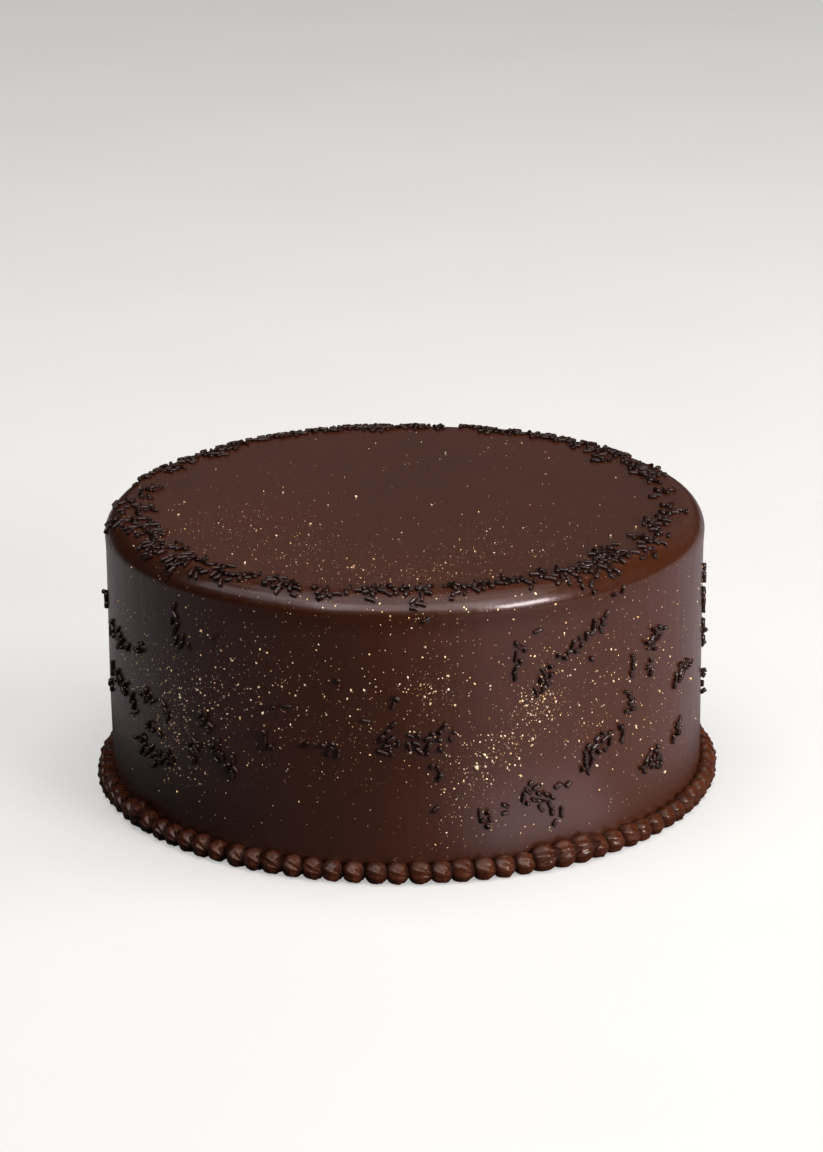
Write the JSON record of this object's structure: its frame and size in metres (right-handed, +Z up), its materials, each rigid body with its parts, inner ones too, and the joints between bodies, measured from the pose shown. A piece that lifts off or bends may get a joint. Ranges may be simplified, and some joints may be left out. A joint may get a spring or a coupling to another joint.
{
  "type": "chocolate truffle cake",
  "caption": "Whole round chocolate truffle cake with a rounded glazed edge, chocolate sprinkles stuck to its top rim and side, and a piped bead border round its foot.",
  "frame": {"origin": "centre of the cake's flat base, on the surface it stands on", "axes": "+Z up along the cake's axis, -Y towards the front, +X to the right of a viewer at the front"},
  "size_m": [0.2138, 0.2136, 0.0968],
  "materials": {
    "glaze": "satin dark chocolate glaze, smooth, with near-black chocolate sprinkles and gold dust on it",
    "ganache": "glossy milk-chocolate ganache, piped in round beads"
  },
  "bodies": {
    "root": {"glazed_cake": "glaze", "piped_border": "ganache"}
  },
  "joints": []
}
